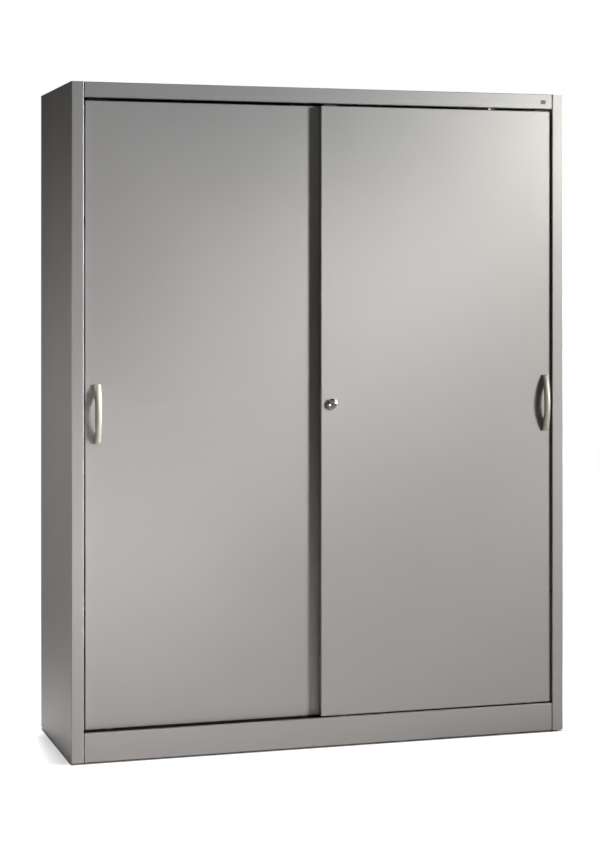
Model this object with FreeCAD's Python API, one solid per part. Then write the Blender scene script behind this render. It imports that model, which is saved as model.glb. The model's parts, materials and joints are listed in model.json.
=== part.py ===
import FreeCAD, Part
import math
import os
from FreeCAD import Vector

# Steel cabinet with two sliding doors. Millimetres, +Z up, front towards -Y, +X to the right
# as seen from the front. The origin is the bottom centre of the whole object's box.

# ---- overall size ----
WIDTH = 1500.0
DEPTH = 500.0  # from the posts' front face to the back
HEIGHT = 1920.0
SHEET = 1.0
FOOT_GAP = 5.0  # the sheet metal starts this far above the floor
BEND = 1.0  # inside radius of a fold
SEAM = 2.4  # joint between neighbouring sheet parts
SLACK = 0.2  # gap between pieces that nearly touch
FIT = 0.05  # radial running clearance of a shaft in its hole

# ---- front frame ----
POST_WIDTH = 35.0
POST_DEPTH = 62.0
POST_LIP = 26.0
REAR_RETURN = 30.0
FASCIA_HEIGHT = 44.0
FASCIA_TOP_DEPTH = 30.0
FASCIA_TOP_HEM = 15.0
FASCIA_LIP = 6.0
FASCIA_LIP_HEM = 8.0
PLINTH_TOP = 88.0
PLINTH_LIP = 6.5
PLINTH_LIP_HEM = 12.0
PLINTH_FOOT = 15.0
TOP_REAR_FOLD = 30.0
TOP_REAR_LIP = 12.0
TOP_FRONT_HEM = 20.0

# ---- doors ----
DOOR_THICKNESS = 18.0
DOOR_GAP = 4.0  # between the front door's back and the rear door's face
FRONT_RECESS = 7.5  # the front door's face lies this far behind the posts
DOOR_OVERLAP = 14.0  # each closed door passes the cabinet's middle by this much
FRONT_JAMB_CLEARANCE = 2.5  # between the front door's right edge and the right post
REAR_JAMB_CLEARANCE = 10.0  # between the rear door's left edge and the left post
DOOR_TOP_GAP = 6.5
DOOR_BOTTOM_GAP = 2.0
DOOR_EDGE_RADIUS = 2.5
LINER_CLEARANCE = 1.2
LINER_DEPTH = 8.0
STIFFENER_WIDTH = 40.0
STIFFENER_OFFSET = 180.0
STIFFENER_END_GAP = 40.0

# ---- handles ----
HANDLE_LENGTH = 167.0
HANDLE_WIDTH = 18.5
HANDLE_REACH = 24.0
HANDLE_THICKNESS = 7.5
HANDLE_END = 7.0  # height of the blunt end above the door
HANDLE_FOOT = 10.0  # length of the end that lies on the door
HANDLE_HOLES = 128.0
HANDLE_BOSS_RADIUS = 5.0
HANDLE_EDGE_RADIUS = 4.0
FRONT_HANDLE_HEIGHT = 992.0
REAR_HANDLE_HEIGHT = 984.0
FRONT_HANDLE_INSET = 18.5  # from the front door's right edge to the handle's middle
REAR_HANDLE_INSET = 34.0  # from the rear door's left edge to the handle's middle
SCREW_RADIUS = 2.0
SCREW_HEAD_RADIUS = 4.0
SCREW_HEAD_HEIGHT = 2.4
SCREW_DEPTH = 9.0  # how far a handle screw enters the handle

# ---- rollers and tracks ----
ROLLER_RADIUS = 14.0
ROLLER_WIDTH = 7.2
ROLLER_RIM = 1.0
ROLLER_TREAD_GAP = 0.3
ROLLER_INSET = 70.0  # from the door's side edge to the axle
AXLE_RADIUS = 3.0
AXLE_HEAD_RADIUS = 4.5
AXLE_HEAD = 1.2
CHEEK_THICKNESS = 1.0
CHEEK_GAP = 0.4
CHEEK_HALF_LENGTH = 16.0
BRACKET_TOP = 24.0  # above the door's bottom
BRACKET_BOTTOM = 2.6
SLOT_HALF_LENGTH = 15.0
SLOT_SIDE = 1.6
TRACK_WEB = 1.2
TRACK_RIB = 1.0
TRACK_GROOVE = 7.8
BASE_TOP = 84.0
BASE_DEPTH = 20.0
BOTTOM_RIB = 3.3
TRACK_BACK_MARGIN = 5.0
TOP_RIB_START = 2.0  # the top ribs end this far above the fascia's lower edge
TOP_TRACK_WEB_Z = 1893.0
TOP_TRACK_FLANGE = 22.0
TOP_TRACK_REAR = 64.0
GUIDE_LENGTH = 40.0
GUIDE_INSET = 30.0
GUIDE_HEIGHT = 20.0  # above the door's top
GUIDE_WIDTH = 7.2
GUIDE_STEM_RADIUS = 3.5
GUIDE_STEM = 13.0
TRAVEL = 640.0
STOP_LENGTH = 20.0
STOP_GAP = 0.5
STOP_HEIGHT = 12.0
BUFFER_RADIUS = 6.0
BUFFER_GAP = 0.3
BUFFER_HEIGHTS = (420.0, 1540.0)

# ---- inside ----
PARTITION_WIDTH = 26.0
PARTITION_FRONT = 70.0
PARTITION_BACK = 486.0
BACK_PANEL_DEPTH = 12.5
BASE_BACK = 487.0
UPRIGHT_WIDTH = 30.0
UPRIGHT_FRONT = 80.0
UPRIGHT_REAR = 438.0
SLOT_PITCH = 60.0
SLOT_WIDTH = 3.0
SLOT_HEIGHT = 12.0
SLOT_COUNT = 29
SHELF_PITCH = 360.0
SHELF_COUNT = 4
SHELF_HEIGHT = 25.0
SHELF_FRONT = 76.0
SHELF_BACK = 482.0
SHELF_SIDE_GAP = 1.5
CLIP_WIDTH = 16.0
CLIP_SHEET = 1.5
CLIP_LEDGE = 10.0
CLIP_DROP = 12.0
TONGUE_WIDTH = 2.4
TONGUE_HEIGHT = 8.0
TONGUE_LENGTH = 4.0

# ---- feet ----
FOOT_X = 685.0
FOOT_FRONT = 42.0
FOOT_REAR = 455.0
FOOT_RADIUS = 20.0
FOOT_PAD = 10.0
FOOT_EDGE = 2.0
STEM_RADIUS = 4.0
STEM_TOP = 64.0
BRACKET_Z = 40.0
BRACKET_SHEET = 2.0
BRACKET_HALF = 28.0
NUT_FLATS = 13.0
NUT_HEIGHT = 6.5
RAIL_HEIGHT = 30.0
RAIL_DEPTH = 25.0

# ---- lock ----
LOCK_FROM_EDGE = 33.5  # from the front door's left edge
LOCK_HEIGHT = 1000.0
LOCK_PROTRUSION = 9.0
LOCK_STROKE = 6.0
BARREL_RADIUS = 10.0
BARREL_HEAD = 8.5
BARREL_CHAMFER = 0.8
SHANK_RADIUS = 9.0
SHANK_LENGTH = 2.0
BOLT_RADIUS = 4.0
BOLT_LENGTH = 14.1
BOLT_HOLE_GAP = 1.0
HOUSING_RADIUS = 15.0
HOUSING_LENGTH = 15.0  # behind the door's face
HOUSING_END_WALL = 1.8
COLLAR_RADIUS = 16.0
COLLAR_HEIGHT = 7.0  # in front of the door's face
COLLAR_ROUND = 3.5
CORE_RADIUS = 6.5
CORE_LENGTH = 8.8
CORE_SINK = 0.3
KEYWAY_WIDTH = 1.8
KEYWAY_HEIGHT = 8.0
KEYWAY_DEPTH = 7.0
LOCK_NUT_FLATS = 36.0
LOCK_NUT_HEIGHT = 4.0
SPRING_RADIUS = 6.6
SPRING_WIRE = 0.6
SPRING_END = 1.0  # from the spring's seat to the middle of its last turn
SPRING_TURNS = 4.5
STRIKE_HALF_HEIGHT = 30.0
STRIKE_PLATE = 1.5
STRIKE_WIDTH = 22.0
STRIKE_REACH = 3.0  # how far its lip stands off the rear door

# ---- blank plate on the fascia ----
PLATE_WIDTH = 16.0
PLATE_HEIGHT = 12.0
PLATE_THICKNESS = 1.0
PLATE_CORNER = 4.0
PLATE_FROM_POST = 30.0
PLATE_FROM_TOP = 23.5

# ---- places worked out from the sizes above ----
FRONT_REACH = HANDLE_REACH - FRONT_RECESS
FRONT = -(DEPTH - FRONT_REACH) / 2
BACK = FRONT + DEPTH
HALF = WIDTH / 2
OPENING = HALF - POST_WIDTH  # half the clear width between the posts
OPENING_TOP = HEIGHT - FASCIA_HEIGHT
DOOR_TOP = OPENING_TOP - DOOR_TOP_GAP
DOOR_BOTTOM = PLINTH_TOP + DOOR_BOTTOM_GAP
FRONT_DOOR_Y = FRONT + FRONT_RECESS
REAR_DOOR_Y = FRONT_DOOR_Y + DOOR_THICKNESS + DOOR_GAP
FRONT_DOOR_X = (-DOOR_OVERLAP, OPENING - FRONT_JAMB_CLEARANCE)
REAR_DOOR_X = (-OPENING + REAR_JAMB_CLEARANCE, DOOR_OVERLAP)
AXLE_Z = BASE_TOP + TRACK_WEB + ROLLER_TREAD_GAP + ROLLER_RADIUS
LOCK_X = FRONT_DOOR_X[0] + LOCK_FROM_EDGE
LOCK_FACE = FRONT_DOOR_Y - LOCK_PROTRUSION
SHANK_START = LOCK_FACE + BARREL_HEAD
BOLT_START = SHANK_START + SHANK_LENGTH
PARTITION_HALF = PARTITION_WIDTH / 2
TOP_UNDERSIDE = HEIGHT - SHEET - SLACK

X = Vector(1, 0, 0)
Y = Vector(0, 1, 0)
Z = Vector(0, 0, 1)


# ---- drawing helpers ----
def save(name, shape):
    """Write one sub-part to its own STEP file."""
    shape.exportStep(os.path.join("parts", name + ".step"))


def box(x, y, z):
    """A box from three (low, high) pairs."""
    low = Vector(min(x), min(y), min(z))
    return Part.makeBox(abs(x[1] - x[0]), abs(y[1] - y[0]), abs(z[1] - z[0]), low)


def rod(start, axis, radius, length):
    return Part.makeCylinder(radius, length, start, axis)


def group(solids):
    return Part.makeCompound(solids)


def mirrored(shape):
    """The same shape on the other side of the cabinet's middle plane."""
    return shape.mirror(Vector(0, 0, 0), X)


def offset_points(points, distance):
    """A polyline moved sideways; a positive distance moves it to the left of its direction."""
    directions = []
    for (ax, ay), (bx, by) in zip(points, points[1:]):
        length = math.hypot(bx - ax, by - ay)
        directions.append(((bx - ax) / length, (by - ay) / length))
    moved = []
    for i, (px, py) in enumerate(points):
        before = directions[max(i - 1, 0)]
        after = directions[min(i, len(directions) - 1)]
        nx = -(before[1] + after[1])
        ny = before[0] + after[0]
        scale = distance / (1 + before[0] * after[0] + before[1] * after[1])
        moved.append((px + nx * scale, py + ny * scale))
    return moved


def rounded_path(points, radius, place):
    """Edges of a polyline whose corners are arcs of one radius."""
    edges = []
    start = points[0]
    for before, corner, after in zip(points, points[1:], points[2:]):
        first = unit(corner, before)
        second = unit(corner, after)
        half = math.acos(first[0] * second[0] + first[1] * second[1]) / 2
        run = radius / math.tan(half)
        enter = (corner[0] + first[0] * run, corner[1] + first[1] * run)
        leave = (corner[0] + second[0] * run, corner[1] + second[1] * run)
        bisector = unit((0, 0), (first[0] + second[0], first[1] + second[1]))
        depth = radius / math.sin(half) - radius
        middle = (corner[0] + bisector[0] * depth, corner[1] + bisector[1] * depth)
        edges.append(Part.makeLine(place(*start), place(*enter)))
        edges.append(Part.Arc(place(*enter), place(*middle), place(*leave)).toShape())
        start = leave
    edges.append(Part.makeLine(place(*start), place(*points[-1])))
    return edges


def unit(start, end):
    length = math.hypot(end[0] - start[0], end[1] - start[1])
    return ((end[0] - start[0]) / length, (end[1] - start[1]) / length)


def folded_sheet(outside, inward, place, run):
    """A folded sheet: its outside line, which side the metal lies on (+1 left, -1 right), how its
    section is placed in space, and the direction and length it runs."""
    inside = offset_points(outside, inward * SHEET)
    edges = rounded_path(outside, BEND + SHEET, place)
    edges += rounded_path(inside, BEND, place)
    edges.append(Part.makeLine(place(*outside[0]), place(*inside[0])))
    edges.append(Part.makeLine(place(*outside[-1]), place(*inside[-1])))
    wire = Part.Wire(Part.__sortEdges__(edges))
    return Part.Face(wire).extrude(run)


def upright_place(z):
    return lambda x, y: Vector(x, y, z)


def cross_place(x):
    return lambda y, z: Vector(x, y, z)


def pan(x, y, z, open_side, radius):
    """A tray folded from one sheet, open on one side: (axis number, -1 or +1)."""
    axis, side = open_side
    ranges = [sorted(x), sorted(y), sorted(z)]
    outer = box(*ranges)
    rim = ranges[axis][1] if side > 0 else ranges[axis][0]
    kept = []
    for edge in outer.Edges:
        on_rim = all(abs(v.Point[axis] - rim) < 1e-6 for v in edge.Vertexes)
        if not on_rim:
            kept.append(edge)
    outer = outer.makeFillet(radius, kept)
    inner = [[low + SHEET, high - SHEET] for low, high in ranges]
    inner[axis][1 if side > 0 else 0] = rim + side * SHEET
    return outer.cut(box(*inner))


def hexagon(centre, axis_y, flats, height):
    """A hexagonal prism along Y when axis_y is true, else along Z."""
    corner = flats / math.sqrt(3)
    points = []
    for i in range(6):
        angle = math.radians(60 * i)
        across = corner * math.cos(angle)
        up = corner * math.sin(angle)
        points.append(centre + (Vector(across, 0, up) if axis_y else Vector(across, up, 0)))
    face = Part.Face(Part.makePolygon(points + points[:1]))
    return face.extrude((Y if axis_y else Z) * height)


# ---- carcass ----
def side_panel():
    """Left side: outer skin with the front post and the rear return folded from it."""
    outside = [
        (-OPENING - POST_LIP, FRONT + POST_DEPTH),
        (-OPENING, FRONT + POST_DEPTH),
        (-OPENING, FRONT),
        (-HALF, FRONT),
        (-HALF, BACK),
        (-OPENING, BACK),
        (-OPENING, BACK - REAR_RETURN),
    ]
    skin = folded_sheet(outside, -1, upright_place(FOOT_GAP), Z * (HEIGHT - FOOT_GAP))
    span_x = (-HALF + SHEET, -OPENING - SHEET)
    span_y = (FRONT + SHEET, BACK - SHEET)
    top = box(span_x, span_y, (HEIGHT - SHEET, HEIGHT))
    bottom = box(span_x, span_y, (FOOT_GAP, FOOT_GAP + SHEET))
    return skin.fuse([top, bottom]).removeSplitter()


def cross_member(outside, inward):
    """A folded sheet that runs across the cabinet between the posts."""
    half = OPENING - SEAM
    return folded_sheet(outside, inward, cross_place(-half), X * (2 * half))


def fascia():
    outside = [
        (FRONT + FASCIA_TOP_DEPTH, HEIGHT - FASCIA_TOP_HEM),
        (FRONT + FASCIA_TOP_DEPTH, HEIGHT),
        (FRONT, HEIGHT),
        (FRONT, OPENING_TOP),
        (FRONT + FASCIA_LIP, OPENING_TOP),
        (FRONT + FASCIA_LIP, OPENING_TOP + FASCIA_LIP_HEM),
    ]
    return cross_member(outside, 1)


def top_panel():
    front = FRONT + FASCIA_TOP_DEPTH + SEAM
    outside = [
        (front, HEIGHT - TOP_FRONT_HEM),
        (front, HEIGHT),
        (BACK, HEIGHT),
        (BACK, HEIGHT - TOP_REAR_FOLD),
        (BACK - TOP_REAR_LIP, HEIGHT - TOP_REAR_FOLD),
    ]
    return cross_member(outside, -1)


def plinth():
    outside = [
        (FRONT + PLINTH_LIP, PLINTH_TOP - PLINTH_LIP_HEM),
        (FRONT + PLINTH_LIP, PLINTH_TOP),
        (FRONT, PLINTH_TOP),
        (FRONT, FOOT_GAP),
        (FRONT + PLINTH_FOOT, FOOT_GAP),
    ]
    return cross_member(outside, 1)


def rear_base_rail():
    top = FOOT_GAP + RAIL_HEIGHT
    outside = [
        (BACK - RAIL_DEPTH, FOOT_GAP),
        (BACK, FOOT_GAP),
        (BACK, top),
        (BACK - RAIL_DEPTH, top),
    ]
    return cross_member(outside, 1)


def base_panel():
    half = OPENING - SEAM
    span_y = (FRONT + PLINTH_LIP + SEAM, FRONT + BASE_BACK)
    return pan((-half, half), span_y, (BASE_TOP - BASE_DEPTH, BASE_TOP), (2, -1), BEND + SHEET)


def back_panel():
    """Left half of the back; the right half is its mirror image."""
    span_x = (-OPENING + SEAM, -SEAM / 2)
    span_y = (BACK - BACK_PANEL_DEPTH, BACK)
    span_z = (FOOT_GAP + RAIL_HEIGHT + SEAM, HEIGHT - TOP_REAR_FOLD - SEAM)
    return pan(span_x, span_y, span_z, (1, -1), BEND + SHEET)


def slot_heights():
    """Middle heights of the slots that the shelf clips hook into."""
    return [BASE_TOP + SLOT_PITCH * k - SLOT_PITCH / 2 for k in range(1, SLOT_COUNT + 1)]


def slot_cutters(x, y):
    """A column of slots through a sheet whose middle is at x."""
    half = SLOT_WIDTH / 2
    return [
        box((x - SHEET, x + SHEET), (y - half, y + half), (z - SLOT_HEIGHT / 2, z + SLOT_HEIGHT / 2))
        for z in slot_heights()
    ]


def upright_middles():
    return [FRONT + y + UPRIGHT_WIDTH / 2 for y in (UPRIGHT_FRONT, UPRIGHT_REAR)]


def side_uprights():
    """Channels behind the sides' inner face, slotted for the shelf clips."""
    uprights = []
    height = TOP_UNDERSIDE - BASE_TOP
    for middle in upright_middles():
        low = middle - UPRIGHT_WIDTH / 2
        high = middle + UPRIGHT_WIDTH / 2
        outside = [
            (-HALF + SHEET, low),
            (-OPENING, low),
            (-OPENING, high),
            (-HALF + SHEET, high),
        ]
        channel = folded_sheet(outside, 1, upright_place(BASE_TOP), Z * height)
        channel = channel.cut(slot_cutters(-OPENING - SHEET / 2, middle))
        uprights += [channel, mirrored(channel)]
    return group(uprights)


def centre_partition():
    """A flat hollow box between the two compartments, slotted on both faces."""
    span_y = (FRONT + PARTITION_FRONT, FRONT + PARTITION_BACK)
    span_z = (BASE_TOP, TOP_UNDERSIDE)
    outer = box((-PARTITION_HALF, PARTITION_HALF), span_y, span_z)
    upright_edges = [e for e in outer.Edges if abs(e.tangentAt(e.FirstParameter).z) > 0.9]
    outer = outer.makeFillet(BEND + SHEET, upright_edges)
    inner_half = PARTITION_HALF - SHEET
    inner = box((-inner_half, inner_half), (span_y[0] + SHEET, span_y[1] - SHEET), span_z)
    cutters = [inner]
    for middle in upright_middles():
        for x in (-PARTITION_HALF + SHEET / 2, PARTITION_HALF - SHEET / 2):
            cutters += slot_cutters(x, middle)
    return outer.cut(cutters)


def shelf_top(number):
    return BASE_TOP + SHELF_PITCH * number


def shelf(number):
    """A shelf of the left compartment; the lowest is number 1."""
    span_x = (-OPENING + SHELF_SIDE_GAP, -PARTITION_HALF - SHELF_SIDE_GAP)
    span_y = (FRONT + SHELF_FRONT, FRONT + SHELF_BACK)
    top = shelf_top(number)
    return pan(span_x, span_y, (top - SHELF_HEIGHT, top), (2, -1), BEND + SHEET)


def shelf_clip(x, y, number, inward):
    """A clip on the face at x; inward is the direction along X that points into the compartment."""
    ledge_top = shelf_top(number) - SHELF_HEIGHT
    slot = shelf_top(number) - SLOT_PITCH / 2
    span_y = (y - CLIP_WIDTH / 2, y + CLIP_WIDTH / 2)
    plate = box((x, x + inward * CLIP_SHEET), span_y, (slot - CLIP_DROP, ledge_top))
    ledge = box((x, x + inward * CLIP_LEDGE), span_y, (ledge_top - CLIP_SHEET, ledge_top))
    tongue_y = (y - TONGUE_WIDTH / 2, y + TONGUE_WIDTH / 2)
    tongue_z = (slot - TONGUE_HEIGHT / 2, slot + TONGUE_HEIGHT / 2)
    tongue = box((x, x - inward * TONGUE_LENGTH), tongue_y, tongue_z)
    return plate.fuse([ledge, tongue]).removeSplitter()


def shelf_clips():
    clips = []
    for number in range(1, SHELF_COUNT + 1):
        for y in upright_middles():
            side = shelf_clip(-OPENING, y, number, 1)
            middle = shelf_clip(-PARTITION_HALF, y, number, -1)
            clips += [side, middle, mirrored(side), mirrored(middle)]
    return group(clips)


# ---- tracks ----
def groove_middles():
    """Y of the two grooves that the doors run in."""
    return [y + DOOR_THICKNESS / 2 for y in (FRONT_DOOR_Y, REAR_DOOR_Y)]


def groove_ribs(half_length, z):
    """The ribs on both sides of each groove."""
    ribs = []
    inner = TRACK_GROOVE / 2
    for middle in groove_middles():
        for side in (-1, 1):
            span_y = (middle + side * inner, middle + side * (inner + TRACK_RIB))
            ribs.append(box((-half_length, half_length), span_y, z))
    return ribs


def bottom_track():
    half = OPENING - SEAM
    first, second = groove_middles()
    reach = TRACK_GROOVE / 2 + TRACK_RIB
    web_z = (BASE_TOP, BASE_TOP + TRACK_WEB)
    web = box((-half, half), (first - reach, second + reach + TRACK_BACK_MARGIN), web_z)
    ribs = groove_ribs(half, (web_z[1], web_z[1] + BOTTOM_RIB))
    return web.fuse(ribs).removeSplitter()


def top_track():
    """Hung between the fascia and the top panel, with its grooves open downwards."""
    half = OPENING - SEAM
    front = FRONT + SHEET + SLACK
    rear = FRONT + TOP_TRACK_REAR
    web_z = (TOP_TRACK_WEB_Z, TOP_TRACK_WEB_Z + TRACK_WEB)
    web = box((-half, half), (front, rear), web_z)
    flange_z = (TOP_TRACK_WEB_Z, TOP_TRACK_WEB_Z + TOP_TRACK_FLANGE)
    front_flange = box((-half, half), (front, front + TRACK_WEB), flange_z)
    rear_flange = box((-half, half), (rear - TRACK_WEB, rear), (TOP_TRACK_WEB_Z, TOP_UNDERSIDE))
    ribs = groove_ribs(half, (OPENING_TOP + TOP_RIB_START, TOP_TRACK_WEB_Z))
    return web.fuse([front_flange, rear_flange] + ribs).removeSplitter()


def travel_stops():
    """Rubber blocks in the top grooves that end each door's travel."""
    front_y, rear_y = groove_middles()
    half = GUIDE_WIDTH / 2
    reach = FRONT_DOOR_X[0] + GUIDE_INSET - GUIDE_LENGTH / 2 - TRAVEL - STOP_GAP
    span_z = (TOP_TRACK_WEB_Z - STOP_HEIGHT, TOP_TRACK_WEB_Z)
    front_stop = box((reach - STOP_LENGTH, reach), (front_y - half, front_y + half), span_z)
    rear_stop = box((-reach, -reach + STOP_LENGTH), (rear_y - half, rear_y + half), span_z)
    return group([front_stop, rear_stop])


def closing_buffers():
    """Rubber pads on the jambs, where the doors' outer edges close."""
    front_y, rear_y = groove_middles()
    front_length = FRONT_JAMB_CLEARANCE - BUFFER_GAP
    rear_length = REAR_JAMB_CLEARANCE - BUFFER_GAP
    buffers = []
    for z in BUFFER_HEIGHTS:
        buffers.append(rod(Vector(OPENING, front_y, z), -X, BUFFER_RADIUS, front_length))
        buffers.append(rod(Vector(-OPENING, rear_y, z), X, BUFFER_RADIUS, rear_length))
    return group(buffers)


# ---- feet ----
def foot_places():
    """Name and place of each levelling foot."""
    return [
        (side_name + "_" + end_name, side * FOOT_X, FRONT + y)
        for side_name, side in (("left", -1), ("right", 1))
        for end_name, y in (("front", FOOT_FRONT), ("rear", FOOT_REAR))
    ]


def levelling_foot(x, y):
    pad = rod(Vector(x, y, 0), Z, FOOT_RADIUS, FOOT_PAD)
    top_edge = [e for e in pad.Edges if abs(e.BoundBox.ZMin - FOOT_PAD) < 1e-6]
    pad = pad.makeFillet(FOOT_EDGE, top_edge)
    stem = rod(Vector(x, y, FOOT_PAD / 2), Z, STEM_RADIUS, STEM_TOP - FOOT_PAD / 2)
    return pad.fuse(stem).removeSplitter()


def foot_brackets():
    brackets = []
    for _, x, y in foot_places():
        side = 1 if x > 0 else -1
        outer = side * (OPENING - SLACK)
        inner = x - side * BRACKET_HALF
        span_y = (y - BRACKET_HALF, y + BRACKET_HALF)
        plate_z = (BRACKET_Z, BRACKET_Z + BRACKET_SHEET)
        plate = box((inner, outer), span_y, plate_z)
        flange_x = (outer - side * BRACKET_SHEET, outer)
        flange = box(flange_x, span_y, (BRACKET_Z, BASE_TOP - BASE_DEPTH - SHEET))
        hole = rod(Vector(x, y, 0), Z, STEM_RADIUS + FIT, BASE_TOP)
        brackets.append(plate.fuse(flange).removeSplitter().cut(hole))
    return group(brackets)


def foot_nuts():
    nuts = []
    for _, x, y in foot_places():
        start = Vector(x, y, BRACKET_Z + BRACKET_SHEET)
        nut = hexagon(start, False, NUT_FLATS, NUT_HEIGHT)
        nuts.append(nut.cut(rod(start, Z, STEM_RADIUS + FIT, NUT_HEIGHT)))
    return group(nuts)


# ---- doors ----
def roller_places(door_x):
    return [door_x[0] + ROLLER_INSET, door_x[1] - ROLLER_INSET]


def guide_places(door_x):
    return [door_x[0] + GUIDE_INSET, door_x[1] - GUIDE_INSET]


def roller_slots(door_x, door_y):
    """Cutters for the slots in the door's lower edge that the rollers reach through."""
    middle = door_y + DOOR_THICKNESS / 2
    half = ROLLER_WIDTH / 2 + SLOT_SIDE
    span_z = (DOOR_BOTTOM - SHEET, DOOR_BOTTOM + SHEET + LINER_CLEARANCE + SHEET)
    return [
        box((x - SLOT_HALF_LENGTH, x + SLOT_HALF_LENGTH), (middle - half, middle + half), span_z)
        for x in roller_places(door_x)
    ]


def guide_holes(door_x, door_y, radius):
    """Rods down through the door's upper edge, for the guides' stems or their holes."""
    middle = door_y + DOOR_THICKNESS / 2
    return [
        rod(Vector(x, middle, DOOR_TOP), -Z, radius, GUIDE_STEM) for x in guide_places(door_x)
    ]


def handle_screw_places(middle, y):
    """Ends of the handle's two screws, for a handle whose middle is at (x, z)."""
    x, z = middle
    return [Vector(x, y, z + side * HANDLE_HOLES / 2) for side in (-1, 1)]


def door_skin(door_x, door_y, holes):
    skin = pan(
        door_x,
        (door_y, door_y + DOOR_THICKNESS),
        (DOOR_BOTTOM, DOOR_TOP),
        (1, 1),
        DOOR_EDGE_RADIUS,
    )
    cutters = roller_slots(door_x, door_y) + guide_holes(door_x, door_y, GUIDE_STEM_RADIUS + FIT)
    return skin.cut(cutters + holes)


def door_liner(door_x, door_y, holes):
    """The door's inner cover, a shallow tray that closes the skin's back."""
    back = door_y + DOOR_THICKNESS
    inset = SHEET + LINER_CLEARANCE
    liner = pan(
        (door_x[0] + inset, door_x[1] - inset),
        (back - LINER_DEPTH, back),
        (DOOR_BOTTOM + LINER_CLEARANCE, DOOR_TOP - inset),
        (1, -1),
        BEND + SHEET,
    )
    cutters = roller_slots(door_x, door_y) + guide_holes(door_x, door_y, GUIDE_STEM_RADIUS + FIT)
    return liner.cut(cutters + holes)


def door_stiffeners(door_x, door_y):
    """Channels that stand inside the door, open towards the liner."""
    middle = (door_x[0] + door_x[1]) / 2
    front = door_y + SHEET
    back = door_y + DOOR_THICKNESS - SHEET
    low = DOOR_BOTTOM + STIFFENER_END_GAP
    height = DOOR_TOP - STIFFENER_END_GAP - low
    stiffeners = []
    for side in (-1, 1):
        x = middle + side * STIFFENER_OFFSET
        outside = [
            (x - STIFFENER_WIDTH / 2, back),
            (x - STIFFENER_WIDTH / 2, front),
            (x + STIFFENER_WIDTH / 2, front),
            (x + STIFFENER_WIDTH / 2, back),
        ]
        stiffeners.append(folded_sheet(outside, 1, upright_place(low), Z * height))
    return group(stiffeners)


def cheek_faces(door_y):
    """Inner faces of the roller brackets' two cheeks."""
    middle = door_y + DOOR_THICKNESS / 2
    half = ROLLER_WIDTH / 2 + CHEEK_GAP
    return middle - half, middle + half


def roller_brackets(door_x, door_y):
    near, far = cheek_faces(door_y)
    low = DOOR_BOTTOM + BRACKET_BOTTOM
    high = DOOR_BOTTOM + BRACKET_TOP
    brackets = []
    for x in roller_places(door_x):
        span_x = (x - CHEEK_HALF_LENGTH, x + CHEEK_HALF_LENGTH)
        front_cheek = box(span_x, (near - CHEEK_THICKNESS, near), (low, high))
        rear_cheek = box(span_x, (far, far + CHEEK_THICKNESS), (low, high))
        top_y = (near - CHEEK_THICKNESS, far + CHEEK_THICKNESS)
        top = box(span_x, top_y, (high, high + CHEEK_THICKNESS))
        hole = rod(Vector(x, door_y, AXLE_Z), Y, AXLE_RADIUS, DOOR_THICKNESS)
        brackets.append(front_cheek.fuse([rear_cheek, top]).removeSplitter().cut(hole))
    return group(brackets)


def roller_axles(door_x, door_y):
    near, far = cheek_faces(door_y)
    start = near - CHEEK_THICKNESS
    length = far + CHEEK_THICKNESS - start
    axles = []
    for x in roller_places(door_x):
        shaft = rod(Vector(x, start, AXLE_Z), Y, AXLE_RADIUS, length)
        front_head = rod(Vector(x, start, AXLE_Z), -Y, AXLE_HEAD_RADIUS, AXLE_HEAD)
        rear_head = rod(Vector(x, start + length, AXLE_Z), Y, AXLE_HEAD_RADIUS, AXLE_HEAD)
        axles.append(shaft.fuse([front_head, rear_head]).removeSplitter())
    return group(axles)


def roller(x, door_y):
    start = Vector(x, door_y + (DOOR_THICKNESS - ROLLER_WIDTH) / 2, AXLE_Z)
    wheel = rod(start, Y, ROLLER_RADIUS, ROLLER_WIDTH)
    rims = [e for e in wheel.Edges if len(e.Vertexes) == 1]
    wheel = wheel.makeFillet(ROLLER_RIM, rims)
    return wheel.cut(rod(start, Y, AXLE_RADIUS + FIT, ROLLER_WIDTH))


def door_guides(door_x, door_y):
    """Plastic blocks on the door's upper edge that slide in the top track's groove."""
    middle = door_y + DOOR_THICKNESS / 2
    span_y = (middle - GUIDE_WIDTH / 2, middle + GUIDE_WIDTH / 2)
    stems = guide_holes(door_x, door_y, GUIDE_STEM_RADIUS)
    guides = []
    for x, stem in zip(guide_places(door_x), stems):
        span_x = (x - GUIDE_LENGTH / 2, x + GUIDE_LENGTH / 2)
        block = box(span_x, span_y, (DOOR_TOP, DOOR_TOP + GUIDE_HEIGHT))
        guides.append(block.fuse(stem).removeSplitter())
    return group(guides)


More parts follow.
